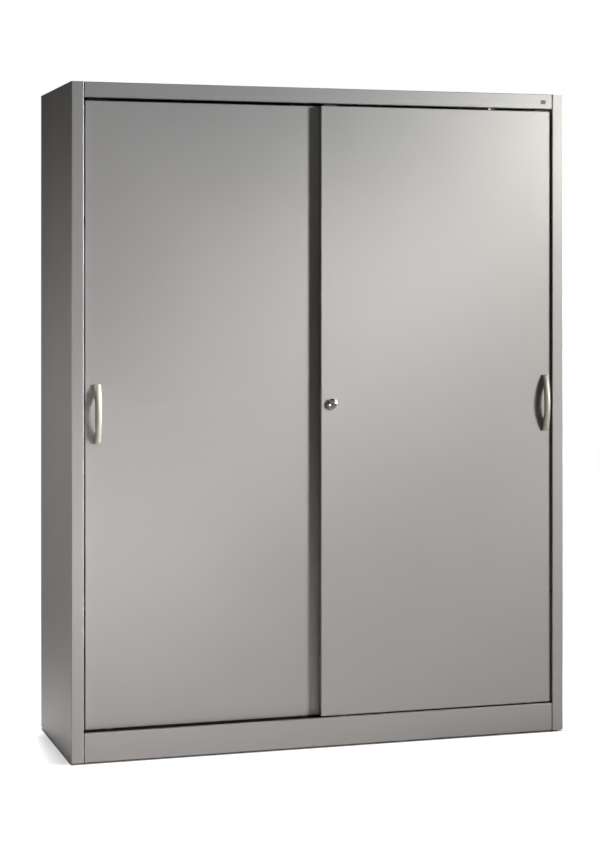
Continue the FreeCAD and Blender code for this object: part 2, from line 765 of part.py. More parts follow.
def door_handle(middle, door_y):
    """A bow of flat bar; its two ends lie on the door, and a boss behind each end takes a screw."""
    half = HANDLE_LENGTH / 2
    inner_half = half - HANDLE_FOOT
    side = middle[0] - HANDLE_WIDTH / 2

    def place(out, up):
        return Vector(side, door_y - out, middle[1] + up)

    outer_arc = Part.Arc(place(HANDLE_END, -half), place(HANDLE_REACH, 0), place(HANDLE_END, half))
    inner_top = place(HANDLE_REACH - HANDLE_THICKNESS, 0)
    inner_arc = Part.Arc(place(0, inner_half), inner_top, place(0, -inner_half))
    edges = [
        outer_arc.toShape(),
        Part.makeLine(place(HANDLE_END, half), place(0, half)),
        Part.makeLine(place(0, half), place(0, inner_half)),
        inner_arc.toShape(),
        Part.makeLine(place(0, -inner_half), place(0, -half)),
        Part.makeLine(place(0, -half), place(HANDLE_END, -half)),
    ]
    bow = Part.Face(Part.Wire(edges)).extrude(X * HANDLE_WIDTH)
    front_edges = [
        e
        for e in bow.Edges
        if e.Curve.TypeId == "Part::GeomCircle" and e.BoundBox.YMin < door_y - HANDLE_REACH + 1
    ]
    bow = bow.makeFillet(HANDLE_EDGE_RADIUS, front_edges)
    for centre in handle_screw_places(middle, door_y):
        boss = rod(centre, -Y, HANDLE_BOSS_RADIUS, SCREW_DEPTH)
        bow = bow.fuse(boss)
    bow = bow.removeSplitter()
    screw_places = handle_screw_places(middle, door_y)
    holes = [rod(c, -Y, SCREW_RADIUS + FIT, SCREW_DEPTH) for c in screw_places]
    return bow.cut(holes)


def handle_screws(middle, door_y):
    """Pan head screws from inside the door into the handle."""
    screws = []
    for centre in handle_screw_places(middle, door_y + SHEET):
        shank = rod(centre, -Y, SCREW_RADIUS, SCREW_DEPTH)
        head = rod(centre, Y, SCREW_HEAD_RADIUS, SCREW_HEAD_HEIGHT)
        screws.append(shank.fuse(head).removeSplitter())
    return group(screws)


def screw_holes(middle, door_y):
    radius = SCREW_RADIUS + FIT
    return [rod(c, Y, radius, 2 * SHEET) for c in handle_screw_places(middle, door_y - SHEET / 2)]


# ---- lock ----
def lock_point(y):
    return Vector(LOCK_X, y, LOCK_HEIGHT)


def lock_rod(start, radius, length):
    return rod(lock_point(start), Y, radius, length)


def front_rims(rod_shape, y):
    """The circular edges of a rod's front end."""
    return [
        e for e in rod_shape.Edges if len(e.Vertexes) == 1 and abs(e.BoundBox.YMax - y) < 1e-6
    ]


def lock_housing():
    """Collar on the door and a tube behind it: a wide bore for the barrel's head, a step for its
    shank."""
    front = FRONT_DOOR_Y - COLLAR_HEIGHT
    length = COLLAR_HEIGHT + HOUSING_LENGTH
    tube = lock_rod(FRONT_DOOR_Y, HOUSING_RADIUS, HOUSING_LENGTH)
    collar = lock_rod(front, COLLAR_RADIUS, COLLAR_HEIGHT)
    collar = collar.makeFillet(COLLAR_ROUND, front_rims(collar, front))
    pressed_end = SHANK_START + LOCK_STROKE + SLACK
    wide = lock_rod(front, BARREL_RADIUS + FIT, pressed_end - front)
    narrow = lock_rod(front, SHANK_RADIUS + FIT, length - HOUSING_END_WALL)
    bolt_hole = lock_rod(front, BOLT_RADIUS + FIT, length)
    return tube.fuse(collar).removeSplitter().cut([wide, narrow, bolt_hole])


def lock_nut():
    start = FRONT_DOOR_Y + SHEET
    nut = hexagon(lock_point(start), True, LOCK_NUT_FLATS, LOCK_NUT_HEIGHT)
    return nut.cut(lock_rod(start, HOUSING_RADIUS + FIT, LOCK_NUT_HEIGHT))


def lock_barrel():
    head = lock_rod(LOCK_FACE, BARREL_RADIUS, BARREL_HEAD)
    head = head.makeChamfer(BARREL_CHAMFER, front_rims(head, LOCK_FACE))
    shank = lock_rod(SHANK_START, SHANK_RADIUS, SHANK_LENGTH)
    bore = lock_rod(LOCK_FACE, CORE_RADIUS + FIT, CORE_SINK + CORE_LENGTH + SLACK)
    return head.fuse(shank).removeSplitter().cut(bore)


def lock_core():
    start = LOCK_FACE + CORE_SINK
    core = lock_rod(start, CORE_RADIUS, CORE_LENGTH)
    half = KEYWAY_WIDTH / 2
    keyway = box(
        (LOCK_X - half, LOCK_X + half),
        (start, start + KEYWAY_DEPTH),
        (LOCK_HEIGHT - KEYWAY_HEIGHT / 2, LOCK_HEIGHT + KEYWAY_HEIGHT / 2),
    )
    return core.cut(keyway)


def lock_spring():
    """A compression spring round the bolt, between the barrel's shank and the housing's end."""
    end = FRONT_DOOR_Y + HOUSING_LENGTH - HOUSING_END_WALL
    length = end - BOLT_START
    height = length - 2 * SPRING_END
    helix = Part.makeHelix(height / SPRING_TURNS, height, SPRING_RADIUS)
    start = Vector(SPRING_RADIUS, 0, 0)
    section = Part.Wire(Part.makeCircle(SPRING_WIRE, start, Y))
    coil = Part.Wire(helix.Edges).makePipeShell([section], True, True)
    coil.rotate(Vector(0, 0, 0), X, -90)
    coil.translate(lock_point(BOLT_START + SPRING_END))
    return coil


def strike_plate():
    """Angle on the rear door's face, whose lip the bolt catches behind."""
    right = REAR_DOOR_X[1]
    face = REAR_DOOR_Y
    span_z = (LOCK_HEIGHT - STRIKE_HALF_HEIGHT, LOCK_HEIGHT + STRIKE_HALF_HEIGHT)
    plate = box((right - STRIKE_WIDTH, right - DOOR_EDGE_RADIUS), (face - STRIKE_PLATE, face), span_z)
    lip_x = (right - DOOR_EDGE_RADIUS - STRIKE_PLATE, right - DOOR_EDGE_RADIUS)
    lip = box(lip_x, (face - STRIKE_REACH, face), span_z)
    return plate.fuse(lip).removeSplitter()


def blank_plate():
    x = OPENING - PLATE_FROM_POST
    z = HEIGHT - PLATE_FROM_TOP
    plate = box(
        (x - PLATE_WIDTH / 2, x + PLATE_WIDTH / 2),
        (FRONT - PLATE_THICKNESS, FRONT),
        (z - PLATE_HEIGHT / 2, z + PLATE_HEIGHT / 2),
    )
    corners = [e for e in plate.Edges if abs(e.tangentAt(e.FirstParameter).y) > 0.9]
    return plate.makeFillet(PLATE_CORNER, corners)


def door(prefix, door_x, door_y, handle_middle, skin_holes, liner_holes):
    """Write the pieces that both doors have."""
    holes = skin_holes + screw_holes(handle_middle, door_y)
    save(prefix + "_door_skin", door_skin(door_x, door_y, holes))
    save(prefix + "_door_liner", door_liner(door_x, door_y, liner_holes))
    save(prefix + "_door_stiffeners", door_stiffeners(door_x, door_y))
    save(prefix + "_door_roller_brackets", roller_brackets(door_x, door_y))
    save(prefix + "_door_axles", roller_axles(door_x, door_y))
    save(prefix + "_door_guides", door_guides(door_x, door_y))
    save(prefix + "_door_handle", door_handle(handle_middle, door_y))
    save(prefix + "_door_handle_screws", handle_screws(handle_middle, door_y))
    for side, x in zip(("left", "right"), roller_places(door_x)):
        save(prefix + "_door_roller_" + side, roller(x, door_y))


def main():
    os.makedirs("parts", exist_ok=True)
    left_side = side_panel()
    save("side_panel_left", left_side)
    save("side_panel_right", mirrored(left_side))
    save("fascia", fascia())
    save("top_panel", top_panel())
    save("plinth", plinth())
    save("base_panel", base_panel())
    save("rear_base_rail", rear_base_rail())
    left_back = back_panel()
    save("back_panel_left", left_back)
    save("back_panel_right", mirrored(left_back))
    save("centre_partition", centre_partition())
    save("side_uprights", side_uprights())
    for number in range(1, SHELF_COUNT + 1):
        left_shelf = shelf(number)
        save("shelf_left_%d" % number, left_shelf)
        save("shelf_right_%d" % number, mirrored(left_shelf))
    save("shelf_clips", shelf_clips())
    save("top_track", top_track())
    save("bottom_track", bottom_track())
    save("travel_stops", travel_stops())
    save("closing_buffers", closing_buffers())
    save("foot_brackets", foot_brackets())
    save("foot_nuts", foot_nuts())
    save("blank_plate", blank_plate())
    for name, x, y in foot_places():
        save("levelling_foot_" + name, levelling_foot(x, y))

    front_handle = (FRONT_DOOR_X[1] - FRONT_HANDLE_INSET, FRONT_HANDLE_HEIGHT)
    rear_handle = (REAR_DOOR_X[0] + REAR_HANDLE_INSET, REAR_HANDLE_HEIGHT)
    lock_hole = lock_rod(FRONT_DOOR_Y - SHEET, HOUSING_RADIUS + FIT, 3 * SHEET)
    bolt_hole = lock_rod(FRONT_DOOR_Y, BOLT_RADIUS + BOLT_HOLE_GAP, 2 * DOOR_THICKNESS)
    door("front", FRONT_DOOR_X, FRONT_DOOR_Y, front_handle, [lock_hole], [bolt_hole])
    door("rear", REAR_DOOR_X, REAR_DOOR_Y, rear_handle, [], [])
    save("lock_housing", lock_housing())
    save("lock_nut", lock_nut())
    save("lock_spring", lock_spring())
    save("lock_barrel", lock_barrel())
    save("lock_bolt", lock_rod(BOLT_START, BOLT_RADIUS, BOLT_LENGTH))
    save("lock_core", lock_core())
    save("strike_plate", strike_plate())


main()
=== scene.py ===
"""Looks of the sliding door cabinet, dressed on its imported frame.

Metres, +Z up, the doors face -Y. Every visible piece keeps the place that the frame gives it.
"""

import json
import math

import bmesh
import bpy
from mathutils import Euler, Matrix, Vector


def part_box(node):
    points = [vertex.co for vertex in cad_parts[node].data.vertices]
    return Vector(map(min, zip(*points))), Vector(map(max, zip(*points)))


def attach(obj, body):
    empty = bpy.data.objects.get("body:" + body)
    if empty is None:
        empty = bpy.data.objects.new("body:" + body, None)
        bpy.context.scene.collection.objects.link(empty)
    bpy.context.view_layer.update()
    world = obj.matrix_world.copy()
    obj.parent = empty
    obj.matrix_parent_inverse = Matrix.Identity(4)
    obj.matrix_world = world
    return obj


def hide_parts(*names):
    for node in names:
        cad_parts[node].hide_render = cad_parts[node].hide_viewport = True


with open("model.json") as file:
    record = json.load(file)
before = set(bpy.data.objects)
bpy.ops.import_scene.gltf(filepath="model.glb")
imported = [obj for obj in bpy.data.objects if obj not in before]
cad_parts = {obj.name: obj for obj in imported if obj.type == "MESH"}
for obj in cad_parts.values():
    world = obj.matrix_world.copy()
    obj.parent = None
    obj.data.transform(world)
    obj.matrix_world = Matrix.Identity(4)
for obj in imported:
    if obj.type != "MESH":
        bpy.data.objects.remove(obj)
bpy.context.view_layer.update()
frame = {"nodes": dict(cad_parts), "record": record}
NODES = frame["nodes"]

# ---- camera, with lengths in rows of the photograph ----
IMAGE_HEIGHT = 853
FOCAL_PIXELS = 2041.9
HORIZON_ROW = 278.7
CAMERA_PLACE = (-1.8121, -5.9030, 1.3653)
CAMERA_YAW = math.radians(17.01)
SENSOR_HEIGHT = 36.0

# ---- floor ----
FLOOR_HALF_SIDE = 30.0
FLOOR_COLOUR = 0.8
FLOOR_GLOW = 1.0  # how bright the open floor looks, 1 is white
FRONT_GLOW_IN_GLOSS = 0.11  # how bright the floor before the doors looks in reflections
REAR_GLOW_IN_GLOSS = 0.29  # the same beside and behind the cabinet
GLOW_CHANGE = 0.05  # the one passes into the other over this distance
FOOTPRINT_CENTRE = (0.0, 0.008, 0.0)
FOOTPRINT_HALF = (0.749, 0.249, 1.0)
FOOTPRINT_EDGE = 0.004  # the glow fades in over this distance outside the footprint; with no glow under the cabinet, the floor there shows painted contact shade
SHADE_CENTRE = (-0.745, -0.03, 0.0)
SHADE_HALF = (0.005, 0.16, 1.0)
SHADE_WIDTH = 0.09
SHADE_LEVEL = 0.55  # share of the glow left beside the left panel, a painted soft shadow

# ---- lamps ----
LEFT_TOP = (-0.6, -0.25, 1.7)
LEFT_MIDDLE = (-0.6, -0.25, 1.0)
LEFT_LOW = (-0.6, -0.25, 0.35)
RIGHT_TOP = (0.7, -0.25, 1.8)
KEY_PLACE = (2.4, -1.8, 2.2)
FAR_KEY_PLACE = (3.4, -2.45, 1.4)
LOW_FILL_PLACE = (-0.5, -2.9, 0.8)
HIGH_FILL_PLACE = (-0.3, -3.5, 2.4)
SIDE_FILL_PLACE = (-3.2, 0.9, 1.1)
RIGHT_LIGHT_PLACE = (3.3, 0.9, 1.3)
BACK_LIGHT_PLACE = (0.1, 3.4, 1.6)
TOP_LIGHT_PLACE = (0.0, 1.4, 3.6)
LEFT_SIDE = (-0.75, 0.0, 1.1)
RIGHT_SIDE = (0.75, 0.0, 1.0)
BACK = (0.1, 0.25, 1.0)
TOP = (0.0, 0.6, 1.92)
KEY_SIZE = 0.4
FAR_KEY_SIZE = 0.7
FILL_SIZE = 0.6
SIDE_FILL_SIZE = 0.5
BACK_LIGHT_SIZE = 1.0
TOP_LIGHT_SIZE = 1.4
NARROW = 25  # spread of a lamp's light, in degrees
HALF_NARROW = 30
MIDDLING = 40
WIDE = 50
SIDE_SPREAD = 60
BACK_SPREAD = 70
NEUTRAL = (1.0, 1.0, 1.0)
WARM = (1.0, 0.9, 0.7)
COOL = (0.8, 0.9, 1.0)
KEY_POWER = 3.3
LOW_KEY_POWER = 11.5
FRONT_FILL_POWER = 0.4
SIDE_POWER = 2.5
REAR_POWER = 25.0

# ---- handles ----
HANDLE_THICKNESS = 0.0075  # at the bow's middle
HANDLE_END = 0.007
HANDLE_FOOT = 0.010
HANDLE_END_RADIUS = 0.002
HANDLE_STATIONS = 72
CROWN_ANGLE = math.radians(36)  # slope of the crowned front where its edge is rounded
EDGE_RADIUS = 0.0012
CROWN_STEPS = 24
EDGE_STEPS = 6

# ---- plinth ----
PLINTH_EDGE_RADIUS = 0.0035  # the folded top edge that catches the light
FOLD_RADIUS = 0.002
SHEET = 0.001
HEM = 0.012
PLINTH_HEM_Y = -0.23525
FOLD_STEPS = 8

# ---- lock ----
LOCK_STEPS = 96
BARREL_RIM = 0.0008
DISH_RIM = 0.0085  # radius where the face starts to slope inwards
DISH_DEPTH = 0.0012
RIM_CUT = 0.3  # share of the rim at its middle point
CORE_BORE = 0.00655
BORE_BEVEL = 0.0004
CORE_CLEARANCE = 0.0002  # behind the core
SHANK_RADIUS = 0.009
SHANK_LENGTH = 0.002
MERGE_DISTANCE = 0.000001

# ---- blank plate ----
PLATE_POWER = 4.0
PLATE_POINTS = 48
PLATE_RIM = 0.0012
PLATE_FIELD = 0.7  # depth of the plate inside its rim, as a share of the rim's


# ---- node helpers ----
class Shader:
    """A material's node tree, with short calls for the nodes that the finishes share."""

    def __init__(self, name):
        self.material = bpy.data.materials.new(name)
        self.material.use_nodes = True
        self.tree = self.material.node_tree
        self.tree.nodes.clear()
        self.output = self.tree.nodes.new("ShaderNodeOutputMaterial")
        self.coords = self.tree.nodes.new("ShaderNodeTexCoord").outputs["Object"]

    def node(self, kind, **settings):
        made = self.tree.nodes.new(kind)
        for key, value in settings.items():
            setattr(made, key, value)
        return made

    def link(self, source, target):
        self.tree.links.new(source, target)

    def feed(self, socket, value):
        """Link a socket, or set it when value is a plain number or colour."""
        if isinstance(value, bpy.types.NodeSocket):
            self.link(value, socket)
        else:
            socket.default_value = value

    def scaled(self, scale):
        """Object coordinates stretched by scale, a number or three."""
        mapping = self.node("ShaderNodeMapping")
        factors = scale if isinstance(scale, tuple) else (scale,) * 3
        mapping.inputs["Scale"].default_value = factors
        self.link(self.coords, mapping.inputs["Vector"])
        return mapping.outputs["Vector"]

    def noise(self, scale, detail=3.0, roughness=0.5):
        """Noise from 0 to 1 with about scale features per metre."""
        made = self.node("ShaderNodeTexNoise")
        made.inputs["Scale"].default_value = 1.0
        made.inputs["Detail"].default_value = detail
        made.inputs["Roughness"].default_value = roughness
        self.link(self.scaled(scale), made.inputs["Vector"])
        return made.outputs["Fac"]

    def spread(self, value, low, high, source_low=0.3, source_high=0.7, smooth=False):
        """value mapped from source_low .. source_high to low .. high."""
        kind = "SMOOTHSTEP" if smooth else "LINEAR"
        made = self.node("ShaderNodeMapRange", interpolation_type=kind)
        for key, number in zip(
            ("From Min", "From Max", "To Min", "To Max"), (source_low, source_high, low, high)
        ):
            made.inputs[key].default_value = number
        self.link(value, made.inputs["Value"])
        return made.outputs["Result"]

    def blend(self, factor, first, second):
        """Colour between first and second by factor."""
        made = self.node("ShaderNodeMix", data_type="RGBA")
        self.link(factor, made.inputs["Factor"])
        for key, colour in (("A", first), ("B", second)):
            socket = [s for s in made.inputs if s.name == key and s.type == "RGBA"][0]
            self.feed(socket, (*colour, 1.0) if isinstance(colour, tuple) else colour)
        return [s for s in made.outputs if s.type == "RGBA"][0]

    def math(self, operation, first, second):
        made = self.node("ShaderNodeMath", operation=operation)
        self.feed(made.inputs[0], first)
        self.feed(made.inputs[1], second)
        return made.outputs["Value"]

    def vector(self, operation, first, second=None):
        made = self.node("ShaderNodeVectorMath", operation=operation)
        self.feed(made.inputs[0], first)
        if second is not None:
            self.feed(made.inputs[1], second)
        return made.outputs["Value" if operation == "LENGTH" else "Vector"]

    def distance_to_box(self, centre, half):
        """Distance from the surface point to a box, 0 inside it."""
        offset = self.vector("ABSOLUTE", self.vector("SUBTRACT", self.coords, centre))
        outside = self.vector("MAXIMUM", self.vector("SUBTRACT", offset, half), (0.0, 0.0, 0.0))
        return self.vector("LENGTH", outside)

    def bump(self, height, distance, strength=1.0, under=None):
        made = self.node("ShaderNodeBump")
        made.inputs["Distance"].default_value = distance
        made.inputs["Strength"].default_value = strength
        self.link(height, made.inputs["Height"])
        if under is not None:
            self.link(under, made.inputs["Normal"])
        return made.outputs["Normal"]

    def principled(self, colour, roughness, normal, constants):
        made = self.node("ShaderNodeBsdfPrincipled")
        self.link(colour, made.inputs["Base Color"])
        self.link(roughness, made.inputs["Roughness"])
        self.link(normal, made.inputs["Normal"])
        for key, value in constants.items():
            made.inputs[key].default_value = value
        self.link(made.outputs["BSDF"], self.output.inputs["Surface"])
        return self.material


def tones(colour, darker, lighter):
    """Two shades of a colour."""
    return tuple(c * darker for c in colour), tuple(min(1.0, c * lighter) for c in colour)


# ---- finishes ----
def silver_paint():
    """Satin powder coat with a little metal in it."""
    s = Shader("satin_silver_paint")
    low, high = tones((0.43, 0.41, 0.395), 0.985, 1.015)
    cloud = s.noise(2.5, detail=4.0)
    colour = s.blend(s.spread(cloud, 0.0, 1.0), low, high)
    roughness = s.spread(s.noise(9.0), 0.44, 0.46)
    peel = s.bump(s.noise(600.0, detail=2.0), 0.00003)
    coat = {"Metallic": 0.7, "Coat Weight": 0.08, "Coat Roughness": 0.35}
    return s.principled(colour, roughness, peel, coat)


def brushed_metal(name, colour, low, high, grain, depth, metallic=1.0):
    """Metal with fine lines; grain is the noise scale along each axis."""
    s = Shader(name)
    dark, light = tones(colour, 0.93, 1.05)
    shade = s.blend(s.spread(s.noise(35.0), 0.0, 1.0), dark, light)
    lines = s.noise(grain, detail=4.0)
    roughness = s.spread(lines, low, high)
    return s.principled(shade, roughness, s.bump(lines, depth), {"Metallic": metallic})


def moulded_plastic(name, colour, low, high, sheen):
    """Nylon, rubber or plastic: fine grain, soft mottling, rubbed patches."""
    s = Shader(name)
    dark, light = tones(colour, 0.85, 1.15)
    shade = s.blend(s.spread(s.noise(60.0), 0.0, 1.0), dark, light)
    rubbed = s.noise(25.0, detail=5.0)
    roughness = s.spread(rubbed, low, high)
    grain = s.bump(s.noise(1500.0, detail=2.0), 0.00002)
    return s.principled(shade, roughness, grain, {"Specular IOR Level": sheen})


ZINC = (0.62, 0.62, 0.60)
NICKEL = (0.48, 0.45, 0.38)
CHROME = (0.82, 0.81, 0.79)
SPRING_STEEL = (0.50, 0.50, 0.50)
WHITE_NYLON = (0.78, 0.78, 0.75)
BLACK_NYLON = (0.03, 0.03, 0.03)
BLACK_RUBBER = (0.025, 0.025, 0.025)
# The bottom track is black plastic, and its near-black colour is also painted shade that keeps the gap
# below the doors black.
TRACK_BLACK_WITH_PAINTED_SHADE = (0.006, 0.006, 0.006)
PLATE_GREY = (0.13, 0.125, 0.12)
ALONG_HANDLE = (1500.0, 1500.0, 40.0)  # fine across, long along Z
ALONG_PLATE = (60.0, 900.0, 900.0)

FINISHES = {
    "silver_paint": silver_paint(),
    "zinc_steel": brushed_metal("bright_zinc", ZINC, 0.30, 0.42, 220.0, 0.00002),
    "handle_nickel": brushed_metal(
        "satin_nickel", NICKEL, 0.44, 0.52, ALONG_HANDLE, 0.000004, metallic=0.4
    ),
    "lock_chrome": brushed_metal("polished_chrome", CHROME, 0.10, 0.16, 400.0, 0.000002),
    "spring_steel": brushed_metal("oiled_spring", SPRING_STEEL, 0.25, 0.35, 500.0, 0.000004),
    "white_nylon": moulded_plastic("roller_nylon", WHITE_NYLON, 0.45, 0.55, 0.4),
    "black_nylon": moulded_plastic("guide_nylon", BLACK_NYLON, 0.45, 0.55, 0.4),
    "black_rubber": moulded_plastic("buffer_rubber", BLACK_RUBBER, 0.60, 0.75, 0.2),
    # Near-black track: black plastic with painted shade for the gap below the doors.
    "dark_plastic": moulded_plastic("track_plastic_painted_shade", TRACK_BLACK_WITH_PAINTED_SHADE, 0.60, 0.70, 0.1),
}


def plate_grey():
    """Dark grey anodised face of the blank plate."""
    return brushed_metal("anodised_grey", PLATE_GREY, 0.42, 0.50, ALONG_PLATE, 0.000004)


def dress_nodes():
    """Every CAD node gets the finish of its slot."""
    for part in frame["record"]["subparts"]:
        mesh = NODES[part["node"]].data
        mesh.materials.clear()
        mesh.materials.append(FINISHES[part["material_slot"]])


# ---- detailed pieces ----
SHARP_ANGLE = math.radians(40)  # folds steeper than this stay crisp


def place_piece(mesh, name, node, body, material):
    """Make an object of the mesh that stands for a CAD node and rides on its body."""
    for polygon in mesh.polygons:
        polygon.use_smooth = True
    mesh.set_sharp_from_angle(angle=SHARP_ANGLE)
    mesh.materials.append(material)
    piece = bpy.data.objects.new(name, mesh)
    bpy.context.scene.collection.objects.link(piece)
    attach(piece, body)
    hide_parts(node)


def loft(name, rings):
    """A closed mesh through rings of equally many points, capped at both ends."""
    count = len(rings[0])
    vertices = [point for ring in rings for point in ring]
    faces = [tuple(range(count)), tuple(range(len(vertices) - 1, len(vertices) - count - 1, -1))]
    for start in range(0, len(vertices) - count, count):
        for i in range(count):
            j = (i + 1) % count
            faces.append((start + j, start + i, start + count + i, start + count + j))
    mesh = bpy.data.meshes.new(name)
    mesh.from_pydata(vertices, [], faces)
    return outward(mesh)


def outward(mesh):
    """Turn all faces of a closed mesh outwards."""
    work = bmesh.new()
    work.from_mesh(mesh)
    bmesh.ops.recalc_face_normals(work, faces=work.faces)
    work.to_mesh(mesh)
    work.free()
    return mesh


def superellipse(angle, power):
    """Point of a superellipse with half axes of 1."""
    across, up = math.cos(angle), math.sin(angle)
    return (
        math.copysign(abs(across) ** (2 / power), across),
        math.copysign(abs(up) ** (2 / power), up),
    )


def arc_height(along, half_chord, rise):
    """Height of a shallow arc over its chord."""
    radius = (half_chord ** 2 + rise ** 2) / (2 * rise)
    return math.sqrt(radius ** 2 - along ** 2) - radius + rise


def arc(centre, radius, start, end, steps):
    """Points of an arc; angles run from the out direction towards the across direction."""
    points = []
    for i in range(steps + 1):
        angle = start + (end - start) * i / steps
        across = centre[0] + radius * math.sin(angle)
        points.append((across, centre[1] + radius * math.cos(angle)))
    return points


def bar_section(half_width, inner, outer):
    """Crowned front, rounded edges, flat back: (across, out) points."""
    quarter = math.pi / 2
    crown = (half_width - EDGE_RADIUS) / math.sin(CROWN_ANGLE) + EDGE_RADIUS
    edge_across = half_width - EDGE_RADIUS
    edge_out = outer - crown + (crown - EDGE_RADIUS) * math.cos(CROWN_ANGLE)
    back_out = inner + EDGE_RADIUS
    front = arc((0, outer - crown), crown, -CROWN_ANGLE, CROWN_ANGLE, CROWN_STEPS)
    right = arc((edge_across, edge_out), EDGE_RADIUS, CROWN_ANGLE, quarter, EDGE_STEPS)
    back = arc((edge_across, back_out), EDGE_RADIUS, quarter, math.pi, EDGE_STEPS)
    back += arc((-edge_across, back_out), EDGE_RADIUS, -math.pi, -quarter, EDGE_STEPS)
    left = arc((-edge_across, edge_out), EDGE_RADIUS, -quarter, -CROWN_ANGLE, EDGE_STEPS)
    return front + right[1:] + back + left[:-1]


def bow_handle(node, body):
    """Bow of crowned flat bar whose ends lie on the door."""
    low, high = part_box(node)
    middle_x = (low[0] + high[0]) / 2
    middle_z = (low[2] + high[2]) / 2
    half_width = (high[0] - low[0]) / 2
    half_length = (high[2] - low[2]) / 2
    reach = high[1] - low[1]
    inner_half = half_length - HANDLE_FOOT
    straight = half_length - HANDLE_END_RADIUS
    rings = []
    for i in range(HANDLE_STATIONS + 1):
        along = -half_length * math.cos(math.pi * i / HANDLE_STATIONS)
        past = max(0.0, abs(along) - straight)
        drop = HANDLE_END_RADIUS - math.sqrt(max(0.0, HANDLE_END_RADIUS ** 2 - past ** 2))
        outer = HANDLE_END + arc_height(along, half_length, reach - HANDLE_END) - drop
        inner = 0.0
        if abs(along) < inner_half:
            inner = arc_height(along, inner_half, reach - HANDLE_THICKNESS)
        section = bar_section(half_width, inner, outer)
        rings.append([(middle_x + a, high[1] - out, middle_z + along) for a, out in section])
    name = node + "_bow"
    nickel = FINISHES["handle_nickel"]
    place_piece(loft(name, rings), name, node, body, nickel)


def folded_section(corners, radii):
    """Outer and inner points of a sheet folded inwards by right angles; corners are (y, z)."""
    points = [Vector(corner) for corner in corners]
    ways = [(b - a).normalized() for a, b in zip(points, points[1:])]
    outer = [points[0]]
    inner = [points[0] + ways[1] * SHEET]
    for corner, radius, way_in, way_out in zip(points[1:], radii, ways, ways[1:]):
        centre = corner + (way_out - way_in) * radius
        for i in range(FOLD_STEPS + 1):
            angle = math.pi / 2 * i / FOLD_STEPS
            ray = way_in * math.sin(angle) - way_out * math.cos(angle)
            outer.append(centre + ray * radius)
            inner.append(centre + ray * (radius - SHEET))
    outer.append(points[-1])
    inner.append(points[-1] - ways[-2] * SHEET)
    return outer, inner


def plinth_fold():
    """The plinth with a fuller fold along its top edge."""
    low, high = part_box("plinth")
    corners = (
        (PLINTH_HEM_Y, high[2] - HEM),
        (PLINTH_HEM_Y, high[2]),
        (low[1], high[2]),
        (low[1], low[2]),
        (high[1], low[2]),
    )
    outer, inner = folded_section(corners, (FOLD_RADIUS, PLINTH_EDGE_RADIUS, FOLD_RADIUS))
    ring = outer + inner[::-1]
    count = len(ring)
    vertices = [(x, *point) for x in (low[0], high[0]) for point in ring]
    faces = []
    for i in range(count):
        j = (i + 1) % count
        faces.append((i, j, count + j, count + i))
    for i in range(len(outer) - 1):
        end = (i, i + 1, count - 2 - i, count - 1 - i)
        faces.append(end)
        faces.append(tuple(count + k for k in end))
    mesh = bpy.data.meshes.new("plinth_fold")
    mesh.from_pydata(vertices, [], faces)
    paint = FINISHES["silver_paint"]
    place_piece(outward(mesh), "plinth_fold", "plinth", "cabinet", paint)


def dished_barrel():
    """Push button of the lock: rounded rim, sloping face, bore for the core."""
    low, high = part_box("lock_barrel")
    core_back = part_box("lock_core")[1][1]
    middle_x = (low[0] + high[0]) / 2
    middle_z = (low[2] + high[2]) / 2
    radius = (high[0] - low[0]) / 2
    front, back = low[1], high[1]
    step = back - SHANK_LENGTH
    bore_end = core_back + CORE_CLEARANCE
    cut = RIM_CUT * BARREL_RIM
    profile = [
        (bore_end, 0.0),
        (bore_end, CORE_BORE),
        (front + DISH_DEPTH, CORE_BORE),
        (front + DISH_DEPTH, CORE_BORE + BORE_BEVEL),
        (front, DISH_RIM),
        (front, radius - BARREL_RIM),
        (front + cut, radius - cut),
        (front + BARREL_RIM, radius),
        (step, radius),
        (step, SHANK_RADIUS),
        (back, SHANK_RADIUS),
        (back, 0.0),
    ]
    work = bmesh.new()
    points = [work.verts.new((middle_x + r, y, middle_z)) for y, r in profile]
    edges = [work.edges.new(pair) for pair in zip(points, points[1:])]
    bmesh.ops.spin(
        work,
        geom=points + edges,
        cent=(middle_x, 0, middle_z),
        axis=(0, 1, 0),
        angle=2 * math.pi,
        steps=LOCK_STEPS,
    )
    bmesh.ops.remove_doubles(work, verts=work.verts, dist=MERGE_DISTANCE)
    mesh = bpy.data.meshes.new("lock_button")
    work.to_mesh(mesh)
    work.free()
    chrome = FINISHES["lock_chrome"]
    place_piece(outward(mesh), "lock_button", "lock_barrel", "lock_barrel", chrome)


def blank_badge():
    """Small plain plate with a raised rim."""
    low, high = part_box("blank_plate")
    middle_x = (low[0] + high[0]) / 2
    middle_z = (low[2] + high[2]) / 2
    depth = high[1] - low[1]
    steps = (
        (0.0, 0.0),
        (PLATE_FIELD * depth, 0.0),
        (depth, 0.25 * PLATE_RIM),
        (depth, 0.8 * PLATE_RIM),
        (PLATE_FIELD * depth, PLATE_RIM),
    )
    rings = []
    for out, inset in steps:
        half_width = (high[0] - low[0]) / 2 - inset
        half_height = (high[2] - low[2]) / 2 - inset
        ring = []
        for i in range(PLATE_POINTS):
            across, up = superellipse(2 * math.pi * i / PLATE_POINTS, PLATE_POWER)
            place = (middle_x + half_width * across, high[1] - out, middle_z + half_height * up)
            ring.append(place)
        rings.append(ring)
    mesh = loft("blank_badge", rings)
    place_piece(mesh, "blank_badge", "blank_plate", "cabinet", plate_grey())


# ---- surroundings ----
def seen_level(s, in_camera, in_gloss):
    """Strength for camera rays, for glossy and transmission rays, and 0 for all others."""
    path = s.node("ShaderNodeLightPath")
    gloss = s.math("MAXIMUM", path.outputs["Is Glossy Ray"], path.outputs["Is Transmission Ray"])
    camera_part = s.math("MULTIPLY", path.outputs["Is Camera Ray"], in_camera)
    gloss_part = s.math("MULTIPLY", gloss, in_gloss)
    return s.math("ADD", camera_part, gloss_part)


